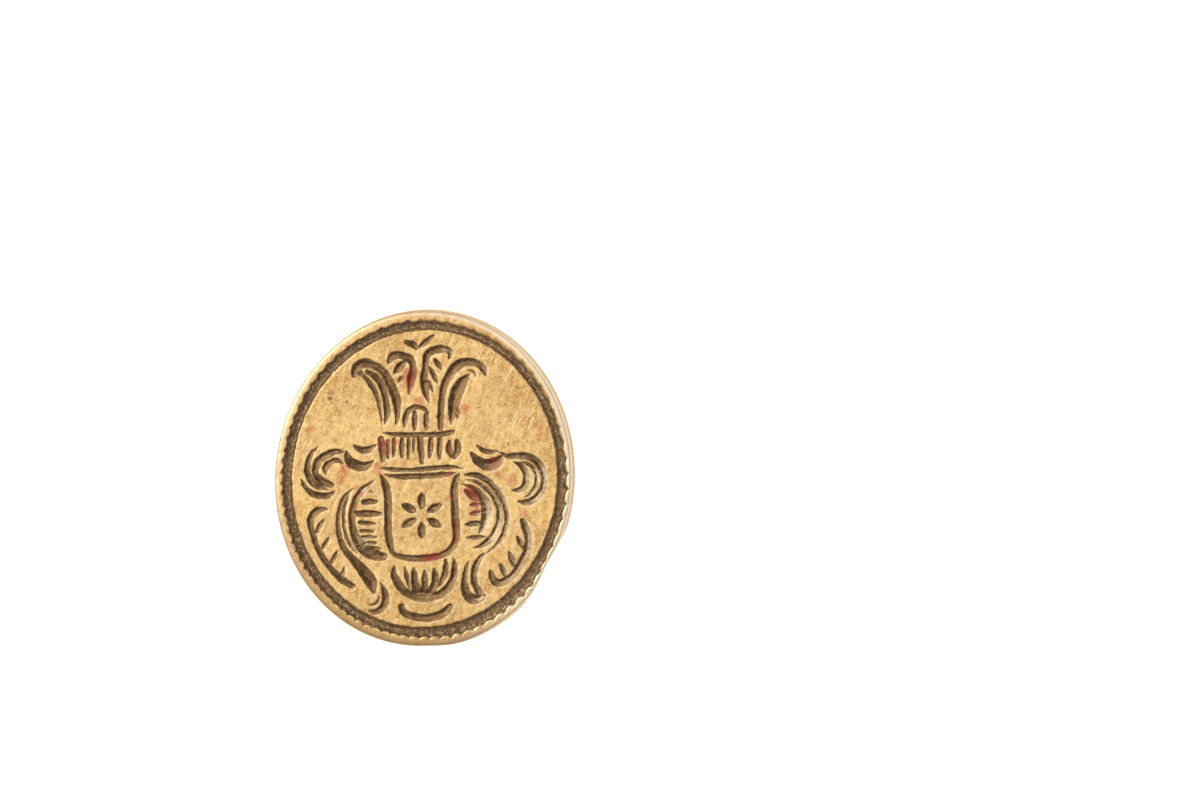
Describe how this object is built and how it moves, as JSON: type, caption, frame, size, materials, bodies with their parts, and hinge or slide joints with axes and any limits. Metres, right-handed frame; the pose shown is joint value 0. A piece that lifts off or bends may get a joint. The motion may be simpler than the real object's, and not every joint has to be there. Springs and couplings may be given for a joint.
{
  "type": "wax seal stamp",
  "caption": "Oval engraved brass seal on a turned wooden handle with brass ferrule and pommel; the head screws off, and the stamp stands on its flat pommel.",
  "frame": {"origin": "centre of the pommel's flat foot, on the surface that the stamp stands on", "axes": "+Z along the handle towards the engraved face, +Y along the long axis of the oval towards the top of the device"},
  "size_m": [0.0224, 0.0254, 0.0685],
  "materials": {
    "engraved_brass": "worn satin, with brown patina in the cuts",
    "turned_brass": "turned satin",
    "steel": "turned",
    "hardwood": "dark waxed",
    "leather": "matt"
  },
  "bodies": {
    "handle": {"handle": "hardwood", "ferrule": "turned_brass", "ferrule_pins": "turned_brass", "neck_collar": "turned_brass", "tang_stud": "steel", "end_cap": "turned_brass", "end_cap_screw": "steel", "index_pin": "turned_brass"},
    "washer": {"friction_washer": "leather"},
    "matrix": {"seal_plate": "engraved_brass", "plate_socket": "turned_brass"}
  },
  "joints": [
    {"name": "matrix_turn", "type": "hinge", "parent": "handle", "child": "washer", "pos_m": [0, 0, 0.058], "axis": [0, 0, 1], "range_deg": [0, 1800]},
    {"name": "matrix_lift", "type": "slide", "parent": "washer", "child": "matrix", "axis": [0, 0, 1], "range_m": [0, 0.005]}
  ],
  "couplings": [
    {"joint": "matrix_lift", "follows": "matrix_turn", "m_per_rad": 0.00015915}
  ]
}
